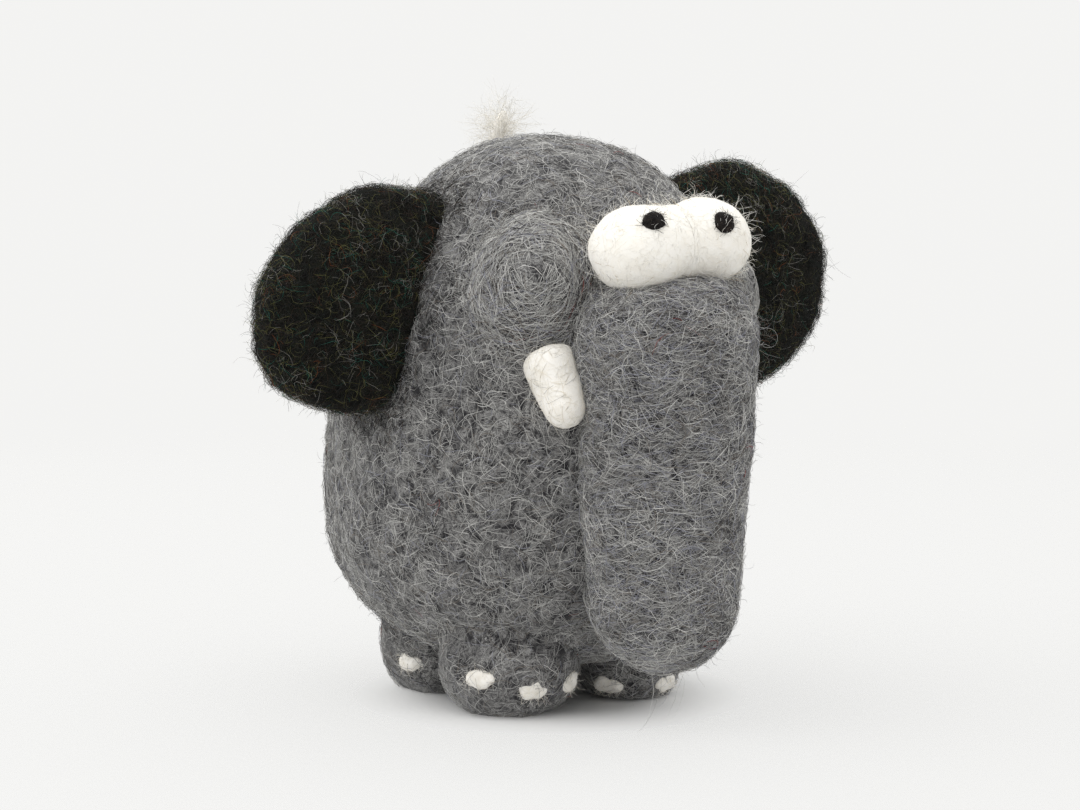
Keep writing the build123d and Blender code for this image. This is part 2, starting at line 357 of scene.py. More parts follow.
# Strands of wool ---------------------------------------------------------------------------
def sow(rng, points, faces, count):
    """Random points spread evenly over a mesh's area."""
    a, b, c, d = (points[faces[:, k]] for k in range(4))
    area = np.linalg.norm(np.cross(c - a, d - b), axis=1)
    pick = rng.choice(len(faces), count, p=area / area.sum())
    u, v = rng.random((count, 1)), rng.random((count, 1))
    top = a[pick] * (1 - u) + b[pick] * u
    foot = d[pick] * (1 - u) + c[pick] * u
    return top * (1 - v) + foot * v


def nearest(tree, points):
    """The nearest surface point and outward normal to each point."""
    found = [tree.find_nearest(p)[:2] for p in points.tolist()]
    return np.array([f[0] for f in found]), np.array([f[1] for f in found])


def spin(v, axis, angle):
    """Each vector turned about its unit axis by its angle."""
    c, s = np.cos(angle)[:, None], np.sin(angle)[:, None]
    along = (v * axis).sum(1, keepdims=True)
    return v * c + np.cross(axis, v) * s + axis * along * (1 - c)


def lay(rng, tree, start, heading, length, knots, curl, wander, lift, bury=0.12):
    """Strands that lie on a surface: both ends are buried, and the middle stands up by lift."""
    count = len(start)
    step = (length / (knots - 1))[:, None]
    turn = rng.normal(0, curl, count)
    at, normal = nearest(tree, start)
    way = unit(heading - normal * (heading * normal).sum(1, keepdims=True))
    path, normals = [at], [normal]
    for _ in range(knots - 1):
        at, normal = nearest(tree, at + way * step)
        way = unit(way - normal * (way * normal).sum(1, keepdims=True))
        turn_here = (turn + rng.normal(0, wander, count)) * step[:, 0]
        way = spin(way, normal, turn_here)
        path.append(at)
        normals.append(normal)
    path, normals = np.stack(path, 1), np.stack(normals, 1)
    rise = np.sin(np.linspace(0, math.pi, knots)) ** 0.8
    height = rise[None, :] * (lift[:, None] + bury) - bury
    return path + normals * height[:, :, None]


def stray(rng, tree, start, length, knots, curl, lean=0.7, droop=0.0):
    """Loose strands: one end is buried, and the rest curls off into the air."""
    count = len(start)
    step = (length / (knots - 1))[:, None]
    at, normal = nearest(tree, start)
    side = rng.normal(size=(count, 3))
    side = unit(side - normal * (side * normal).sum(1, keepdims=True))
    way = unit(normal * (1 - lean) + side * lean)
    axis = unit(rng.normal(size=(count, 3)))
    turn = rng.normal(0, curl, count)
    at = at - normal * 0.15
    path = [at]
    for _ in range(knots - 1):
        at = at + way * step
        way = spin(way, axis, turn * step[:, 0])
        way = unit(way + rng.normal(0, 0.12, (count, 3)) - UP * droop * step)
        path.append(at)
    return np.stack(path, 1)


def strands(name, paths, radius, tone, materials, body):
    """Thin tapered tubes with closed ends along the paths, as one piece."""
    count, knots = paths.shape[:2]
    paths[..., 2] = np.maximum(paths[..., 2], CLEAR_OF_FLOOR)
    tangent = unit(np.gradient(paths, axis=1))
    lean = np.where(np.abs(tangent[..., 2:]) < 0.8, UP, np.array([1.0, 0.0, 0.0]))
    side = unit(np.cross(tangent, lean))
    other = np.cross(tangent, side)
    taper = 0.45 + 0.55 * np.sin(np.linspace(0, math.pi, knots)) ** 0.5
    width = radius[:, None, None] * taper[None, :, None]
    rings = [
        paths + width * (side * math.cos(a) + other * math.sin(a))
        for a in (0, 2 * math.pi / 3, 4 * math.pi / 3)
    ]
    inner = np.stack(rings, 2)[:, 1:-1].reshape(count, -1, 3)
    points = np.concatenate([paths[:, :1], inner, paths[:, -1:]], 1)
    per = points.shape[1]
    tris, quads = [], []
    for k in range(3):
        j = (k + 1) % 3
        tris.append((0, 1 + j, 1 + k))
        for ring in range(knots - 3):
            low, high = 1 + 3 * ring, 4 + 3 * ring
            quads.append((low + k, low + j, high + j, high + k))
        end = 1 + 3 * (knots - 3)
        tris.append((end + k, end + j, per - 1))
    shift = (np.arange(count) * per)[:, None, None]
    tri_loops = (np.array(tris)[None] + shift).reshape(-1)
    quad_loops = (np.array(quads)[None] + shift).reshape(-1)
    sizes = np.r_[np.full(len(tri_loops) // 3, 3), np.full(len(quad_loops) // 4, 4)]
    mesh = bpy.data.meshes.new(name)
    mesh.vertices.add(count * per)
    mesh.vertices.foreach_set("co", (points * MM).astype(np.float32).ravel())
    loops = np.r_[tri_loops, quad_loops]
    mesh.loops.add(len(loops))
    mesh.loops.foreach_set("vertex_index", loops.astype(np.int32))
    mesh.polygons.add(len(sizes))
    starts = np.r_[0, np.cumsum(sizes)[:-1]]
    mesh.polygons.foreach_set("loop_start", starts.astype(np.int32))
    mesh.polygons.foreach_set("loop_total", sizes.astype(np.int32))
    slots = np.r_[np.repeat(tone, len(tris)), np.repeat(tone, len(quads))]
    mesh.polygons.foreach_set("material_index", slots.astype(np.int32))
    mesh.validate()
    for material in materials:
        mesh.materials.append(material)
    piece = add_object(name, mesh)
    if body:
        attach(piece, body)
    return piece


def any_way(rng, at, normal):
    return rng.normal(size=at.shape)


def round_about(centre, pole, spread):
    """Headings that circle a pole through centre, with a random spread in radians."""
    def heading(rng, at, normal):
        way = np.cross(np.asarray(pole, float)[None, :], at - np.asarray(centre, float))
        way = unit(way) * rng.choice([-1, 1], len(at))[:, None]
        return spin(way, normal, rng.normal(0, spread, len(at)))
    return heading


def tones_for(rng, start, shares, patch=6.0, patchiness=0.35):
    """A tone for each strand, in the given shares, with neighbours leaning the same way."""
    total = np.cumsum(shares) / sum(shares)
    drawn = rng.random(len(start)) + patchiness * noise_at(start, patch, 11)
    rank = np.argsort(np.argsort(drawn)) / len(start)
    return np.searchsorted(total, rank, side="right").clip(0, len(shares) - 1)


def coat(name, tree, skin, count, way, shares, materials, body, slot,
         length=(5, 11), curl=0.16, wander=0.12, lift=(0.02, 0.22), width=(0.035, 0.06),
         knots=8, keep=None):
    """A coat of lying strands over a skin, which is (points, faces)."""
    rng = seeded(name)
    start = sow(rng, *skin, count)
    if keep is not None:
        start = start[keep(start)]
    count = len(start)
    at, normal = nearest(tree, start)
    paths = lay(
        rng, tree, at, way(rng, at, normal), rng.uniform(*length, count), knots,
        curl, wander, rng.uniform(*lift, count),
    )
    tone = tones_for(rng, start, shares)
    return strands(name, paths, rng.uniform(*width, count), tone, materials, body)


def halo(name, tree, skin, count, shares, materials, body, slot,
         length=(2, 6), curl=0.45, lean=0.7, droop=0.0, width=(0.025, 0.045), knots=9, keep=None):
    """Loose strands that stand off a skin."""
    rng = seeded(name)
    start = sow(rng, *skin, count)
    if keep is not None:
        start = start[keep(start)]
    count = len(start)
    paths = stray(rng, tree, start, rng.uniform(*length, count), knots, curl, lean, droop)
    tone = tones_for(rng, start, shares)
    return strands(name, paths, rng.uniform(*width, count), tone, materials, body)


# Forms -------------------------------------------------------------------------------------
# The CAD's own driving sizes, in the same frame.
BODY_CENTRE = np.array([0.0, 4.4, 40.0])
BODY_LEAN = math.radians(9.4)
BODY_RADIUS = 33.8
BODY_BOTTOM = -32.1
BODY_WIDEST = -5.2
BODY_TOP = 50.3
BODY_FLAT_RADIUS = 9.0
BODY_FULLNESS = 2.38
TRUNK_Y = -31.5
TRUNK_UPPER_RADIUS = 14.0
TRUNK_LOWER_RADIUS = 11.6
TRUNK_LOWER_Z = 22.0
TRUNK_UPPER_Z = 57.0
TRUNK_TOP_FULLNESS = 2.8
CHEEK_CENTRES = {"right": (-18.0, -22.3, 70.1), "left": (18.2, -22.3, 67.2)}
CHEEK_NORMAL = (0.58, -0.814, 0.1)
EYE_CENTRES = {"right": (-5.6, -33.0, 72.8), "left": (5.6, -33.0, 74.0)}
EYE_SIZE = (7.7, 7.7, 6.7)
EYE_NECK = 0.90
EYE_SEAM_Z = 73.4
EYE_SEAM_REACH = 5.0
EYE_OVERLAP = 0.6
PUPIL_DIRECTIONS = {"right": (-0.20, -0.76, 0.61), "left": (-0.07, -0.91, 0.40)}
PUPIL_SIZE = (1.75, 1.6, 1.0)
TUSK_ROOT = (16.0, -25.0, 55.0)
TUSK_TIP = (15.6, -28.0, 49.6)
TUSK_ROOT_RADIUS = 4.2
TUSK_TIP_RADIUS = 3.2
TUSK_ROOT_HEIGHT = 3.0
SOLE_RADIUS = 5.5
FOOT_WIDEST_Z = 10.0
FOOT_DOME_Z = 14.0
FOOT_DOME_HEIGHT = 9.0
NAIL_SIZE = (1.75, 2.6, 1.4)
EAR_CENTRES = {"right": (-34.2, -1.0, 65.0), "left": (34.3, -1.0, 67.0)}
EAR_HALF_LENGTHS = {"right": (19.7, 15.6), "left": (19.4, 18.6)}
EAR_TURNS = {"right": math.radians(33), "left": math.radians(11)}
EAR_HALF_THICKNESS = 6.5
EAR_FULLNESS = 2.7
EAR_SUNK = 2.0
TAIL_LINE = ((0.0, 39.5, 50.0), (2.0, 42.8, 68.5), (6.8, 29.0, 87.0))
TAIL_ROOT_RADIUS = 2.6
TAIL_TAPER = 0.7
TAIL_DOME = 0.06
TUFT_DIRECTION = (0.1, -0.35, 0.93)
TUFT_CORE = (1.2, 1.2, 3.2)


def mirrored(point, side):
    return np.array([side * point[0], point[1], point[2]])


def body_form():
    ball, quads = cube_ball(100)
    outline = np.vstack([
        [(0, BODY_BOTTOM)],
        arc((BODY_FLAT_RADIUS, BODY_WIDEST), BODY_RADIUS - BODY_FLAT_RADIUS,
            BODY_WIDEST - BODY_BOTTOM, -90, 0, fullness=BODY_FULLNESS),
        arc((0, BODY_WIDEST), BODY_RADIUS, BODY_TOP - BODY_WIDEST, 0, 90,
            fullness=BODY_FULLNESS),
    ])
    points = turned(ball, outline)
    c, s = math.cos(BODY_LEAN), math.sin(BODY_LEAN)
    points = points @ np.array([[1, 0, 0], [0, c, s], [0, -s, c]]) + BODY_CENTRE
    return Form("body_felt", points, quads, lumps=0.6, lump_size=13, dents=0.34, dent_size=3.2)


def trunk_form():
    ball, quads = cube_ball(88)
    bottom = box_mm("trunk_cover")[0][2]
    top = box_mm("trunk_root")[1][2]
    outline = np.vstack([
        arc((0, TRUNK_LOWER_Z), TRUNK_LOWER_RADIUS, TRUNK_LOWER_Z - bottom, -90, 0),
        arc((0, TRUNK_UPPER_Z), TRUNK_UPPER_RADIUS, top - TRUNK_UPPER_Z, 0, 90,
            fullness=TRUNK_TOP_FULLNESS),
    ])
    points = turned(ball, outline)
    points[:, 1] += TRUNK_Y
    return Form("trunk_felt", points, quads, lumps=0.6, lump_size=10, dents=0.30, dent_size=3.0)


def cheek_form(name, side, body):
    """A dome of wool whose rim dies away into the body's surface."""
    centre = np.array(CHEEK_CENTRES[name])
    pole = unit(mirrored(CHEEK_NORMAL, side))
    x, y, z = axes_about(pole)
    rings, spokes, radius, rise, sunk = 30, 96, 14.0, 5.4, 0.5
    r = np.linspace(0, 1, rings + 1)[1:]
    a = np.linspace(0, 2 * math.pi, spokes, endpoint=False)
    disc = (r[:, None, None] * radius) * (
        np.cos(a)[None, :, None] * x + np.sin(a)[None, :, None] * y
    )
    flat = np.vstack([[centre], (centre + disc).reshape(-1, 3)]) + pole * 4
    height = np.r_[1.0, np.repeat((1 - r ** 2) ** 1.7, spokes)] * (rise + sunk) - sunk
    at, normal = nearest(body.tree, flat)
    points = at + unit(normal * 0.6 + pole * 0.4) * height[:, None]
    ring = np.arange(rings * spokes).reshape(rings, spokes) + 1
    turn = np.roll(ring, -1, axis=1)
    quads = np.stack([ring[:-1], ring[1:], turn[1:], turn[:-1]], -1).reshape(-1, 4)
    fan = np.stack([np.zeros(spokes, int), ring[0], turn[0], turn[0]], -1)
    return points, quads, fan, centre, pole


def skirt(points, tree, start, end, sunk):
    """Points above start are drawn to the surface of tree, and lie just inside it by end."""
    at, normal = nearest(tree, points)
    t = np.clip((points[:, 2] - start) / (end - start), 0, 1)[:, None]
    t = t * t * (3 - 2 * t)
    return points * (1 - t) + (at - normal * sunk) * t


def dome(t, span):
    """A quarter round that rises from 0 to 1 as t goes from 0 to span."""
    return np.sqrt(np.clip(1 - (1 - np.minimum(t, span) / span) ** 2, 0.0, 1))


def swept(line, radius, spokes=28):
    """A round tube along a line, whose ends are drawn in where the radius dies away."""
    tangent = unit(np.gradient(line, axis=0))
    side = unit(np.cross(tangent, (1.0, 0, 0)))
    other = np.cross(tangent, side)
    a = np.linspace(0, 2 * math.pi, spokes, endpoint=False)
    ring = np.cos(a)[None, :, None] * side[:, None] + np.sin(a)[None, :, None] * other[:, None]
    points = (line[:, None] + ring * radius[:, None, None]).reshape(-1, 3)
    row = np.arange(len(line) * spokes).reshape(len(line), spokes)
    turn = np.roll(row, -1, axis=1)
    quads = np.stack([row[:-1], turn[:-1], turn[1:], row[1:]], -1).reshape(-1, 4)
    return points, quads


def joined(*forms):
    """One tree over several forms, so that strands can cross from one to the next."""
    starts = np.cumsum([0] + [len(f.points) for f in forms])
    points = np.concatenate([f.points for f in forms])
    faces = np.concatenate([f.faces + start for f, start in zip(forms, starts)])
    return BVHTree.FromPolygons(points.tolist(), faces.tolist())


def close_to(form, reach, inside=0.2, above=0.0):
    """Keeps the points within reach of a form, not far inside it, and higher than above."""
    def keep(p):
        spot, out = nearest(form.tree, p)
        gap = np.linalg.norm(p - spot, axis=1) * np.sign(((p - spot) * out).sum(1))
        return (gap > -inside) & (gap < reach) & (p[:, 2] > above)
    return keep


def clear_of(form, gap):
    """Keeps the points that stand out from a form by more than gap."""
    def keep(p):
        spot, out = nearest(form.tree, p)
        return ((p - spot) * out).sum(1) > gap
    return keep


# Scene -------------------------------------------------------------------------------------
def aim(obj, target):
    obj.rotation_euler = (Vector(target) - obj.location).to_track_quat("-Z", "Y").to_euler()


def add_camera():
    data = bpy.data.cameras.new("camera")
    data.lens = CAMERA_LENS
    data.sensor_width = 36
    data.clip_start = 0.01
    camera = bpy.data.objects.new("camera", data)
    bpy.context.scene.collection.objects.link(camera)
    a, e = CAMERA_AZIMUTH, CAMERA_ELEVATION
    back = Vector((math.sin(a) * math.cos(e), -math.cos(a) * math.cos(e), math.sin(e)))
    right = Vector((math.cos(a), math.sin(a), 0))
    target = right * CAMERA_SIDESTEP + Vector((0, 0, CAMERA_AIM_Z))
    camera.location = target + back * CAMERA_DISTANCE
    aim(camera, target)
    bpy.context.scene.camera = camera


def add_area_light(name, place, size, watts, colour=(1, 1, 1)):
    data = bpy.data.lights.new(name, "AREA")
    data.size = size
    data.energy = watts
    data.color = colour
    light = bpy.data.objects.new(name, data)
    light.location = place
    bpy.context.scene.collection.objects.link(light)
    aim(light, (0, 0, 0.04))


def add_floor():
    """A pale floor that fades into the backdrop far from the figure."""
    rings = np.array([0.0, 0.15, 0.4, 0.9, 1.6])
    spokes = 64
    a = np.linspace(0, 2 * math.pi, spokes, endpoint=False)
    points = np.vstack([[(0, 0, 0)]] + [
        np.stack([r * np.cos(a), r * np.sin(a), 0 * a], -1) for r in rings[1:]
    ])
    faces = [(0, 1 + k, 1 + (k + 1) % spokes) for k in range(spokes)]
    for ring in range(len(rings) - 2):
        low, high = 1 + ring * spokes, 1 + (ring + 1) * spokes
        for k in range(spokes):
            j = (k + 1) % spokes
            faces.append((low + k, high + k, high + j, low + j))
    mesh = bpy.data.meshes.new("floor")
    mesh.from_pydata(points.tolist(), [], faces)
    n = Nodes("floor_paper")
    place = n.add("ShaderNodeTexCoord").outputs["Object"]
    far = n.add("ShaderNodeVectorMath", {"operation": "LENGTH"}, **{"0": place}).outputs["Value"]
    n.put(n.shader, "Base Color", (0.68, 0.68, 0.67, 1))
    n.put(n.shader, "Roughness", 0.9)
    n.shader.inputs["Specular IOR Level"].default_value = 0.1
    clear = n.add("ShaderNodeBsdfTransparent")
    thin = n.math("MULTIPLY", n.ramp(far, 0.014, 0.034), 0.7)
    fade = n.add("ShaderNodeMixShader", **{
        "0": n.math("MAXIMUM", thin, n.ramp(far, 0.12, 0.5)),
        "1": n.shader.outputs[0], "2": clear.outputs[0]})
    n.put(n.tree.nodes["Material Output"], "Surface", fade.outputs[0])
    mesh.materials.append(n.material)
    add_object("floor", mesh, smooth=False)


def add_world():
    world = bpy.data.worlds.new("studio")
    world.use_nodes = True
    tree = world.node_tree
    seen = tree.nodes["Background"]
    seen.inputs["Color"].default_value = (1.0, 0.998, 0.985, 1)
    seen.inputs["Strength"].default_value = BACKDROP_WHITE
    lit = tree.nodes.new("ShaderNodeBackground")
    lit.inputs["Color"].default_value = (1, 1, 1, 1)
    lit.inputs["Strength"].default_value = 0.85
    path = tree.nodes.new("ShaderNodeLightPath")
    mixed = tree.nodes.new("ShaderNodeMixShader")
    tree.links.new(path.outputs["Is Camera Ray"], mixed.inputs[0])
    tree.links.new(lit.outputs[0], mixed.inputs[1])
    tree.links.new(seen.outputs[0], mixed.inputs[2])
    tree.links.new(mixed.outputs[0], tree.nodes["World Output"].inputs["Surface"])
    bpy.context.scene.world = world


add_camera()
add_floor()
add_world()
add_area_light("overhead", (-0.06, 0.06, 0.75), 1.3, 5.5)
add_area_light("left_window", (-0.80, 0.25, 0.45), 1.1, 2.0)
bpy.context.scene.view_settings.view_transform = "Standard"
bpy.context.scene.cycles.denoising_prefilter = "NONE"

grey_strands = strand_materials("grey_strand", GREYS)
dark_strands = strand_materials("dark_strand", DARKS, sheen=0.1)
white_strands = strand_materials("white_strand", WHITES)
cream_strands = strand_materials("cream_strand", CREAMS)
ink_strands = strand_materials("ink_strand", INKS, sheen=0.05)

grey_felt = felt("grey_felt", (0.016, 0.015, 0.018), (0.095, 0.092, 0.092),
                 (0.47, 0.465, 0.45), strand=0.45, web=0.95)
dark_felt = felt("dark_felt", (0.002, 0.002, 0.002), (0.005, 0.006, 0.005),
                 (0.030, 0.030, 0.020), pit_shade=0.5, sheen=0.03)
white_felt = felt("white_felt", (0.92, 0.885, 0.81), (0.95, 0.925, 0.865), (0.97, 0.95, 0.90),
                  pit_shade=0.02, bump=0.03, sheen=0.1)
cream_felt = felt("cream_felt", (0.88, 0.84, 0.76), (0.93, 0.90, 0.84), (0.95, 0.93, 0.89),
                  pit_shade=0.03, bump=0.05, sheen=0.1)
ink_felt = felt("ink_felt", (0.006, 0.005, 0.005), (0.012, 0.010, 0.010), (0.03, 0.024, 0.02),
                pit_shade=0.2, sheen=0.05)
core_felt = felt("core_batting", (0.50, 0.46, 0.40), (0.58, 0.55, 0.48), (0.70, 0.67, 0.60),
                 pit_shade=0.3, bump=0.3)

for node in ("body_core", "trunk_core"):
    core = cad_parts[node]
    core.data.materials.clear()
    core.data.materials.append(core_felt)

body = body_form()
body.build(grey_felt, "body", "grey_wool", "body_cover")
body_skin = (body.points, body.faces)

trunk = trunk_form()
trunk_skin = (trunk.points, trunk.faces)
trunk_piece = trunk.build(grey_felt, None, "grey_wool", "trunk_cover", "trunk_root")
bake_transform(trunk_piece)

cheeks = {}
for name, side in SIDES.items():
    points, quads, fan, centre, pole = cheek_form(name, side, body)
    form = Form(f"{name}_cheek_felt", points, np.vstack([quads, fan]), lumps=0.25,
                lump_size=6, dents=0.1)
    mesh = bpy.data.meshes.new(form.name)
    faces = [tuple(q) for q in quads.tolist()] + [tuple(f[:3]) for f in fan.tolist()]
    mesh.from_pydata((form.points * MM).tolist(), [], faces)
    piece = add_object(form.name, mesh)
    piece.data.materials.append(grey_felt)
    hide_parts(f"{name}_cheek")
    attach(piece, "body")
    cheeks[name] = (form, quads, centre, pole)

# Eyes --------------------------------------------------------------------------------------
eye_ball = cube_ball(44)
pupil_ball = cube_ball(16)
for name, side in SIDES.items():
    centre = np.array(EYE_CENTRES[name])
    size = np.array(EYE_SIZE)
    points = centre + eye_ball[0] * size
    points[:, 0] = side * np.maximum(side * points[:, 0], -EYE_OVERLAP)
    x = side * points[:, 0]
    girth = np.sqrt(np.clip(1 - ((x - side * centre[0]) / size[0]) ** 2, 0, 1))
    near_seam = np.clip(1 - x / EYE_SEAM_REACH, 0, 1)
    near_seam = near_seam ** 2 * (3 - 2 * near_seam)
    wider = 1 + near_seam * np.clip(EYE_NECK / np.maximum(girth, 0.3) - 1, 0, 1)
    points[:, 1:] = centre[1:] + (points[:, 1:] - centre[1:]) * wider[:, None]
    points[:, 2] += near_seam * (EYE_SEAM_Z - centre[2])
    eye = Form(f"{name}_eye_felt", points, eye_ball[1], lumps=0.25, lump_size=6, dents=0.06)
    eye.build(white_felt, "body", "white_wool", f"{name}_eye")
    skin = (eye.points, eye.faces)
    coat(f"{name}_eye_strands", eye.tree, skin, 900, any_way,
         (0.80, 0.20, 0, 0), white_strands, "body", "white_wool",
         length=(3, 7), curl=0.4, lift=(0.0, 0.08), width=(0.012, 0.02))
    halo(f"{name}_eye_wisps", eye.tree, skin, 800,
         (0.6, 0.36, 0.03, 0.01), white_strands, "body", "white_wool",
         length=(1.2, 4.5), curl=0.7, lean=0.85, width=(0.015, 0.03))
    halo(f"{name}_eye_seam_wisps", eye.tree, skin, 1800,
         (0.45, 0.38, 0.11, 0.06), white_strands, "body", "white_wool",
         length=(1.5, 4.5), curl=0.7, lean=0.85, width=(0.015, 0.03),
         keep=lambda p: (p[:, 2] < 69.5) & (p[:, 1] < -33.0))
    look = axes_about(PUPIL_DIRECTIONS[name])
    low, high = box_mm(f"{name}_pupil")
    local = pupil_ball[0] * np.array(PUPIL_SIZE)
    points = (low + high) / 2 + local @ look
    pupil = Form(f"{name}_pupil_felt", points, pupil_ball[1], lumps=0.2, lump_size=1.2,
                 dents=0.1, dent_size=0.5)
    pupil.build(ink_felt, "body", "black_wool", f"{name}_pupil")
    halo(f"{name}_pupil_wisps", pupil.tree, (pupil.points, pupil.faces), 240,
         (0.70, 0.18, 0.12), ink_strands, "body", "black_wool",
         length=(0.7, 2.2), curl=0.5, lean=0.9, width=(0.015, 0.03), knots=7)

# Tusks -------------------------------------------------------------------------------------
for name, side in SIDES.items():
    root, tip = mirrored(TUSK_ROOT, side), mirrored(TUSK_TIP, side)
    ball, quads = cube_ball(30)
    axis = tip - root
    span = np.linalg.norm(axis)
    outline = np.vstack([
        arc((0, 0), TUSK_ROOT_RADIUS, TUSK_ROOT_HEIGHT, -90, 0, fullness=3.6),
        arc((0, span), TUSK_TIP_RADIUS, TUSK_TIP_RADIUS, 0, 90)])
    points = root + turned(ball, outline) @ axes_about(axis)
    tusk = Form(f"{name}_tusk_felt", points, quads, lumps=0.2, lump_size=4, dents=0.05)
    tusk.build(cream_felt, "body", "cream_wool", f"{name}_tusk")
    coat(f"{name}_tusk_strands", tusk.tree, (tusk.points, tusk.faces), 480, any_way,
         (0.79, 0.20, 0.01), cream_strands, "body", "cream_wool",
         length=(2.5, 6), lift=(0.0, 0.12), width=(0.02, 0.035))
    halo(f"{name}_tusk_wisps", tusk.tree, (tusk.points, tusk.faces), 260,
         (0.74, 0.22, 0.04), cream_strands, "body", "cream_wool",
         length=(1, 3), curl=0.7, lean=0.85, width=(0.015, 0.025))

# Ears --------------------------------------------------------------------------------------
for name, side in SIDES.items():
    ear_body = f"{name}_ear"
    long, short = EAR_HALF_LENGTHS[name]
    ball, quads = cube_ball(70)
    outline = arc((0, 0), 1, 1, -90, 90, count=64, fullness=EAR_FULLNESS)
    local = turned(ball, outline) * np.array([long, short, EAR_HALF_THICKNESS])
    turn = EAR_TURNS[name]
    wide = np.array([math.cos(turn), 0, math.sin(turn)])
    tall = np.array([-math.sin(turn), 0, math.cos(turn)])
    points = np.array(EAR_CENTRES[name]) + local @ np.stack([wide, tall, (0, -1.0, 0)])
    at, normal = nearest(body.tree, points)
    inside = ((points - at) * normal).sum(1) < -EAR_SUNK
    points[inside] = at[inside] - normal[inside] * EAR_SUNK
    ear = Form(f"{name}_ear_felt", points, quads, lumps=0.8, lump_size=8, dents=0.35,
               dent_size=2.5)
    piece = ear.build(dark_felt, ear_body, "dark_wool", f"{name}_ear")
    skin = (ear.points, ear.faces)
    clear_of_body = clear_of(body, 0.4)
    coat(f"{name}_ear_strands", ear.tree, skin, 9000, any_way, EAR_SHARES, dark_strands,
         ear_body, "dark_wool", length=(2, 6), curl=1.0, wander=0.5, lift=(0.05, 0.9),
         width=(0.015, 0.03), knots=7, keep=clear_of_body)
    halo(f"{name}_ear_halo", ear.tree, skin, 6600, RIM_SHARES, dark_strands, ear_body,
         "dark_wool", length=(1.2, 4.5), curl=1.0, lean=0.84, width=(0.012, 0.024), knots=8,
         keep=clear_of_body)
    halo(f"{name}_ear_strays", ear.tree, skin, 60, RIM_SHARES, dark_strands, ear_body,
         "dark_wool", length=(5, 10), curl=0.5, lean=0.85, width=(0.013, 0.022), knots=14,
         keep=clear_of_body)
    # Dark strands on the body within 4.2 mm of each ear: partly the ear's dark wool worked into
    # the body, partly painted shade where the ear shades the body.
    coat(f"{name}_ear_root_strands", body.tree, body_skin, 36000, any_way,
         (0.62, 0.10, 0.28, 0, 0, 0, 0), dark_strands, "body", "dark_wool", length=(2, 5),
         curl=0.5, wander=0.3, lift=(0.3, 1.0), width=(0.02, 0.04),
         keep=close_to(ear, 4.2, inside=0.5))

# Feet and toenails -------------------------------------------------------------------------
feet = {}
for foot_name in FEET:
    low, high = box_mm(f"{foot_name}_foot")
    centre = (low + high) / 2
    radius = (high[0] - low[0]) / 2
    ball, quads = cube_ball(44)
    outline = np.vstack([
        [(0, 0)],
        arc((SOLE_RADIUS, FOOT_WIDEST_Z), radius - SOLE_RADIUS, FOOT_WIDEST_Z, -90, 0),
        arc((0, FOOT_DOME_Z), radius, FOOT_DOME_HEIGHT, 0, 90),
    ])
    points = turned(ball, outline) + np.array([centre[0], centre[1], 0])
    points = skirt(points, body.tree, 6.5, 15.0, 0.3)
    foot = Form(f"{foot_name}_foot_felt", points, quads, lumps=0.5, lump_size=7, dents=0.15)
    foot.points[:, 2] = np.maximum(foot.points[:, 2], 0)
    foot.build(grey_felt, "body", "grey_wool", f"{foot_name}_foot")
    feet[foot_name] = foot
    coat(f"{foot_name}_foot_strands", foot.tree, (foot.points, foot.faces), 1900, any_way,
         FOOT_SHARES, grey_strands, "body", "grey_wool", length=(2.5, 6), curl=0.4, wander=0.3,
         lift=(0.0, 0.4), width=(0.022, 0.042), keep=lambda p: p[:, 2] > 0.8)
    for toe in TOES:
        node = f"{foot_name}_{toe}_toenail"
        low, high = box_mm(node)
        spot = (low + high) / 2
        outwards = unit((spot - centre) * (1, 1, 0))
        ball, quads = cube_ball(16)
        local = ball * np.array(NAIL_SIZE)
        points = spot + local @ axes_about(outwards)
        nail = Form(f"{node}_felt", points, quads, lumps=0.45, lump_size=1.8, dents=0.1,
                    dent_size=0.7)
        nail.build(cream_felt, "body", "cream_wool", node)
        halo(f"{node}_wisps", nail.tree, (nail.points, nail.faces), 220,
             (0.55, 0.40, 0.05), cream_strands, "body", "cream_wool",
             length=(0.8, 2.4), curl=0.6, lean=0.9, width=(0.015, 0.03))
        coat(f"{node}_grey_strands", nail.tree, (nail.points, nail.faces), 14, any_way,
             BODY_SHARES, grey_strands, "body", "grey_wool",
             length=(2, 5), lift=(0.1, 0.4), width=(0.02, 0.035))

# Tail --------------------------------------------------------------------------------------
ends = np.array(TAIL_LINE)
t = np.linspace(-0.03, 1, 48)
bend = 2 * ends[1] - (ends[0] + ends[2]) / 2
line = (ends[0] * ((1 - t) ** 2)[:, None] + bend * (2 * t * (1 - t))[:, None]
        + ends[2] * (t ** 2)[:, None])
span = (t - t[0]) / (t[-1] - t[0])
cap = dome(span, TAIL_DOME) * dome(1 - span, TAIL_DOME)
points, quads = swept(line, np.maximum(cap, 0.02) * (TAIL_ROOT_RADIUS - TAIL_TAPER * span))
tail = Form("tail_felt", points, quads, lumps=0.15, lump_size=5, dents=0.08)
tail.build(grey_felt, "tail", "grey_wool", "tail")
coat("tail_strands", tail.tree, (tail.points, tail.faces), 900, any_way, BODY_SHARES,
     grey_strands, "tail", "grey_wool", length=(3, 8))

low, high = box_mm("tail_tuft")
centre = (low + high) / 2
ball, quads = cube_ball(16)
points = centre + (ball * np.array(TUFT_CORE)) @ axes_about(TUFT_DIRECTION)
tuft = Form("tail_tuft_felt", points, quads, lumps=0.3, lump_size=3)
tuft.build(cream_felt, "tail", "cream_wool", "tail_tuft")
halo("tail_tuft_strands", tuft.tree, (tuft.points, tuft.faces), 620, (0.8, 0.2, 0),
     cream_strands, "tail", "cream_wool", length=(3.5, 8), curl=0.35, lean=0.6,
     width=(0.012, 0.022))

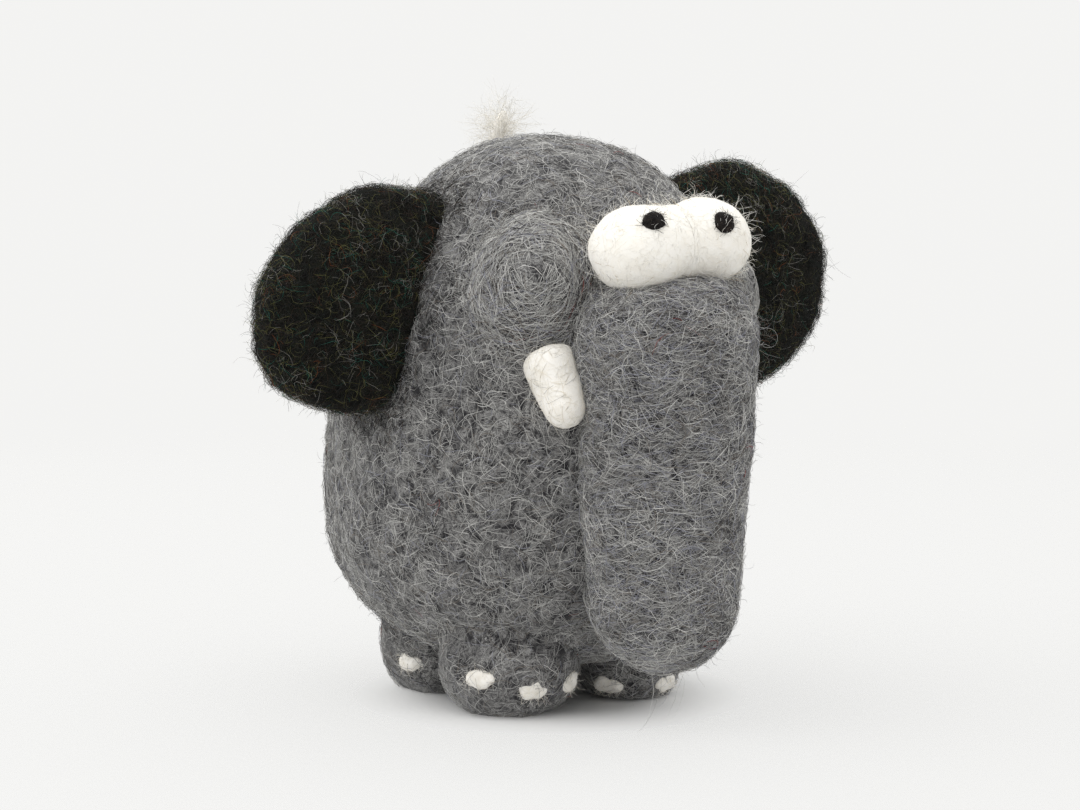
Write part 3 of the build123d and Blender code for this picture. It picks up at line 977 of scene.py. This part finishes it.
# Grey coat ---------------------------------------------------------------------------------
JOIN = dict(length=(2.5, 6), curl=0.5, wander=0.3, lift=(0.2, 0.9), width=(0.02, 0.04), knots=7)
for name, (cheek, *_) in cheeks.items():
    face = joined(body, cheek, trunk)
    coat(f"{name}_cheek_rim_strands", face, body_skin, 26000, any_way, BODY_SHARES,
         grey_strands, "body", "grey_wool", keep=close_to(cheek, 2.0), **JOIN)
    coat(f"{name}_cheek_trunk_strands", face, trunk_skin, 14000, any_way, BODY_SHARES,
         grey_strands, "body", "grey_wool", keep=close_to(cheek, 2.2, above=61), **JOIN)
for foot_name, foot in feet.items():
    coat(f"{foot_name}_top_strands", joined(body, foot), body_skin, 16000, any_way,
         BODY_SHARES, grey_strands, "body", "grey_wool", keep=close_to(foot, 1.8), **JOIN)
LYING = dict(width=(0.022, 0.045), knots=7)
for name, count, options in (
    ("body_strands_deep", 6600, dict(length=(3, 7), curl=0.35, wander=0.2, lift=(0.0, 0.15))),
    ("body_strands_low", 6600, dict(length=(3, 7), curl=0.35, wander=0.2, lift=(0.05, 0.3))),
    ("body_strands_mid", 6600, dict(length=(3, 7), curl=0.45, wander=0.3, lift=(0.1, 0.45))),
    ("body_strands_top", 6600, dict(length=(2.5, 6), curl=0.6, wander=0.4, lift=(0.2, 0.7))),
):
    coat(name, body.tree, body_skin, count, any_way, BODY_SHARES, grey_strands, "body",
         "grey_wool", **options, **LYING)
halo("body_halo", body.tree, body_skin, 3600, BODY_SHARES, grey_strands, "body", "grey_wool",
     length=(1.2, 4), curl=0.8, lean=0.85, width=(0.015, 0.028))
for name, (form, quads, centre, pole) in cheeks.items():
    coat(f"{name}_cheek_strands", form.tree, (form.points, quads), 3000,
         round_about(centre, pole, 0.3), BODY_SHARES, grey_strands, "body", "grey_wool",
         length=(5, 13), curl=0.08, wander=0.15, lift=(0.03, 0.45), width=(0.025, 0.05))

trunk_centre = (0, TRUNK_Y, 0)
for name, count, spread, lift in (
    ("trunk_strands_deep", 6400, 0.25, (0.0, 0.2)),
    ("trunk_strands_mid", 6400, 0.35, (0.05, 0.4)),
    ("trunk_strands_top", 3600, 0.9, (0.1, 0.6)),
):
    piece = coat(name, trunk.tree, trunk_skin, count,
                 round_about(trunk_centre, (0, 0, 1), spread), TRUNK_SHARES, grey_strands,
                 None, "grey_wool", length=(2.5, 7.5), curl=0.2, wander=0.3, lift=lift,
                 width=(0.022, 0.045), knots=7)
    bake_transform(piece)
for name, count, options in (
    ("trunk_halo", 2200, dict(length=(1.2, 4), curl=0.8, lean=0.84, width=(0.015, 0.028))),
    ("trunk_strays", 70, dict(length=(5, 10), curl=0.5, lean=0.85, width=(0.015, 0.024),
                              knots=14)),
    ("trunk_end_strays", 160, dict(length=(4, 8), curl=0.3, lean=0.75, droop=0.03,
                                   width=(0.015, 0.028), knots=14,
                                   keep=lambda p: p[:, 2] < 14)),
    ("trunk_end_long_strays", 500, dict(length=(7, 11), curl=0.12, lean=0.4, droop=0.08,
                                       width=(0.02, 0.03), knots=14,
                                       keep=lambda p: p[:, 2] < 9.3)),
):
    piece = halo(name, trunk.tree, trunk_skin, count, TRUNK_SHARES, grey_strands, None,
                 "grey_wool", **options)
    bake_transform(piece)
